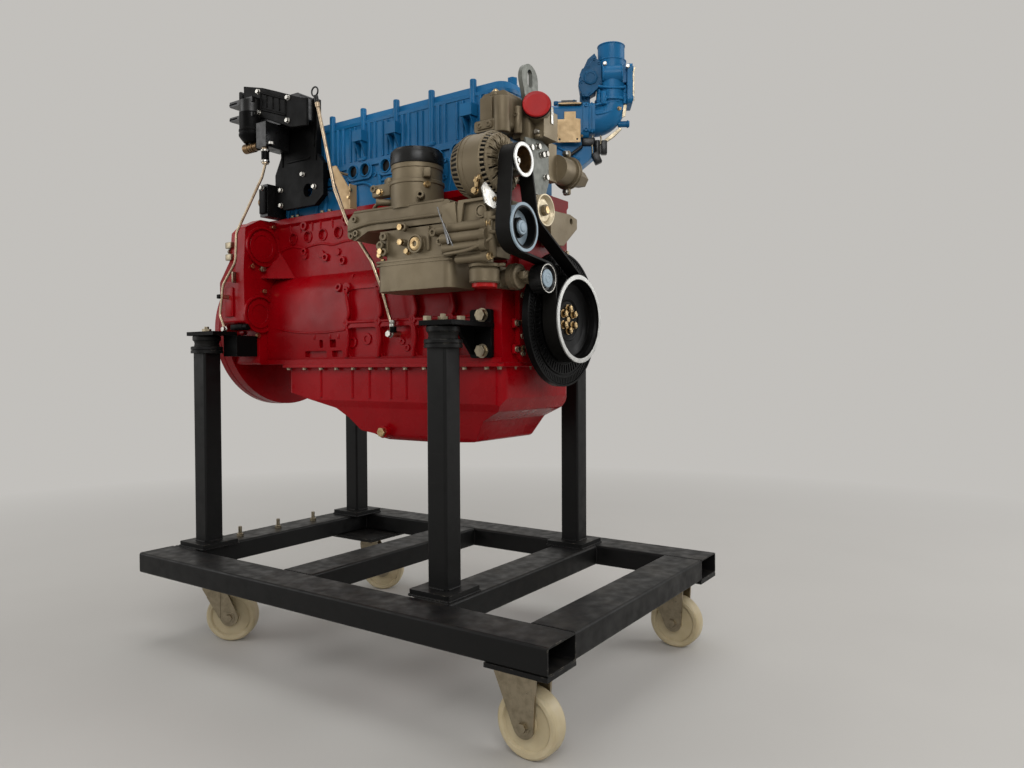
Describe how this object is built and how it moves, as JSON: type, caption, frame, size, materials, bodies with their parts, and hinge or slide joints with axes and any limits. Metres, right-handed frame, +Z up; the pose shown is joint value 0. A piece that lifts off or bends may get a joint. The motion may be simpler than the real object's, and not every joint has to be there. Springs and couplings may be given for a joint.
{
  "type": "hydrogen engine",
  "caption": "In-line piston engine for hydrogen with red block and blue head, belt-driven auxiliaries and oil module, on rubber mounts on a black tube stand with castors.",
  "frame": {"origin": "on the floor, under the middle of the stand's outline", "axes": "+Z up, +X towards the belt drive end, the oil module and alternator lie on the -Y side"},
  "size_m": [1.44, 0.95, 1.786],
  "materials": {
    "black_paint": "satin",
    "red_paint": "gloss",
    "blue_paint": "gloss",
    "cast_alloy": "satin",
    "zinc_steel": "satin",
    "yellow_zinc": "satin",
    "bright_steel": "bright",
    "dark_steel": "satin",
    "cream_nylon": "matte",
    "black_plastic": "matte",
    "red_plastic": "matte",
    "mount_rubber": "matte",
    "belt_rubber": "matte"
  },
  "bodies": {
    "stand_and_engine": {"side_beams": "black_paint", "cross_beams": "black_paint", "post_feet": "black_paint", "posts": "black_paint", "corner_plates": "black_paint", "fixed_forks": "zinc_steel", "swivel_tops": "zinc_steel", "mount_plates": "black_paint", "mount_rubbers": "mount_rubber", "mount_brackets": "black_paint", "stand_bolts": "zinc_steel", "engine_block": "red_paint", "gear_case": "red_paint", "flywheel_housing": "red_paint", "blanking_covers": "red_paint", "front_cover": "red_paint", "oil_pan": "red_paint", "cylinder_head": "blue_paint", "valve_cover": "blue_paint", "filler_plug": "blue_paint", "intake_duct": "blue_paint", "throttle_body": "blue_paint", "throttle_motor": "black_plastic", "zinc_brackets": "yellow_zinc", "oil_module": "cast_alloy", "filter_cap": "black_plastic", "oil_cooler": "cast_alloy", "alternator_housing": "cast_alloy", "coolant_outlet": "cast_alloy", "coolant_tube": "dark_steel", "transport_caps": "red_plastic", "pump_housings": "cast_alloy", "side_outlets": "cast_alloy", "front_plates": "dark_steel", "drive_belt": "belt_rubber", "module_bracket": "black_paint", "filter_module": "black_plastic", "sensor_block": "black_plastic", "rigid_pipes": "zinc_steel", "engine_bolts": "zinc_steel"},
    "crank": {"crankshaft": "dark_steel", "flywheel": "dark_steel", "damper": "dark_steel", "crank_pulley": "dark_steel", "crank_bolts": "dark_steel"},
    "alternator": {"alternator_rotor": "dark_steel", "alternator_pulley": "bright_steel"},
    "pump": {"pump_pulley": "bright_steel"},
    "idler": {"disc_idler": "yellow_zinc"},
    "tensioner": {"tensioner_arm": "cast_alloy"},
    "roller": {"tensioner_roller": "black_plastic"},
    "throttle_flap": {"throttle_plate": "bright_steel"},
    "swivel_near": {"swivel_fork_near": "zinc_steel"},
    "swivel_far": {"swivel_fork_far": "zinc_steel"},
    "rear_wheel_near": {"wheel_rear_near": "cream_nylon"},
    "rear_wheel_far": {"wheel_rear_far": "cream_nylon"},
    "front_wheel_near": {"wheel_front_near": "cream_nylon"},
    "front_wheel_far": {"wheel_front_far": "cream_nylon"},
    "stick": {"dipstick": "black_plastic"}
  },
  "joints": [
    {"name": "crank_spin", "type": "hinge", "parent": "stand_and_engine", "child": "crank", "pos_m": [0.5, 0.027, 0.95], "axis": [1, 0, 0], "continuous": true},
    {"name": "alternator_spin", "type": "hinge", "parent": "stand_and_engine", "child": "alternator", "pos_m": [0.45, -0.235, 1.31], "axis": [1, 0, 0], "continuous": true},
    {"name": "pump_spin", "type": "hinge", "parent": "stand_and_engine", "child": "pump", "pos_m": [0.49, -0.232, 1.153], "axis": [1, 0, 0], "continuous": true},
    {"name": "idler_spin", "type": "hinge", "parent": "stand_and_engine", "child": "idler", "pos_m": [0.488, -0.13, 1.21], "axis": [1, 0, 0], "continuous": true},
    {"name": "tensioner_swing", "type": "hinge", "parent": "stand_and_engine", "child": "tensioner", "pos_m": [0.458, -0.175, 1.047], "axis": [1, 0, 0], "range_deg": [-15, 0], "stiffness_Nm_per_rad": 40, "springref_deg": 20.05},
    {"name": "roller_spin", "type": "hinge", "parent": "tensioner", "child": "roller", "pos_m": [0.488, -0.121, 1.0435], "axis": [1, 0, 0], "continuous": true},
    {"name": "throttle_turn", "type": "hinge", "parent": "stand_and_engine", "child": "throttle_flap", "pos_m": [0.44, 0.353, 1.7], "axis": [0.8526, 0.5225, 0], "range_deg": [0, 85], "stiffness_Nm_per_rad": 0.3, "springref_deg": -17.19},
    {"name": "swivel_near_turn", "type": "hinge", "parent": "stand_and_engine", "child": "swivel_near", "pos_m": [-0.555, -0.328, 0.18], "axis": [0, 0, 1], "continuous": true},
    {"name": "swivel_far_turn", "type": "hinge", "parent": "stand_and_engine", "child": "swivel_far", "pos_m": [-0.555, 0.328, 0.18], "axis": [0, 0, 1], "continuous": true},
    {"name": "rear_wheel_near_roll", "type": "hinge", "parent": "swivel_near", "child": "rear_wheel_near", "pos_m": [-0.51355, -0.30004, 0.075], "axis": [-0.5592, 0.829, 0], "continuous": true},
    {"name": "rear_wheel_far_roll", "type": "hinge", "parent": "swivel_far", "child": "rear_wheel_far", "pos_m": [-0.51355, 0.35596, 0.075], "axis": [-0.5592, 0.829, 0], "continuous": true},
    {"name": "front_wheel_near_roll", "type": "hinge", "parent": "stand_and_engine", "child": "front_wheel_near", "pos_m": [0.631, -0.396, 0.075], "axis": [0, 1, 0], "continuous": true},
    {"name": "front_wheel_far_roll", "type": "hinge", "parent": "stand_and_engine", "child": "front_wheel_far", "pos_m": [0.631, 0.396, 0.075], "axis": [0, 1, 0], "continuous": true},
    {"name": "dipstick_slide", "type": "slide", "parent": "stand_and_engine", "child": "stick", "axis": [-0.2625, 0, 0.9649], "range_m": [0, 0.055]}
  ],
  "couplings": [
    {"joint": "alternator_spin", "follows": "crank_spin", "ratio": 2.87},
    {"joint": "pump_spin", "follows": "crank_spin", "ratio": 1.956},
    {"joint": "idler_spin", "follows": "crank_spin", "ratio": -2.663},
    {"joint": "roller_spin", "follows": "crank_spin", "ratio": -2.833}
  ]
}
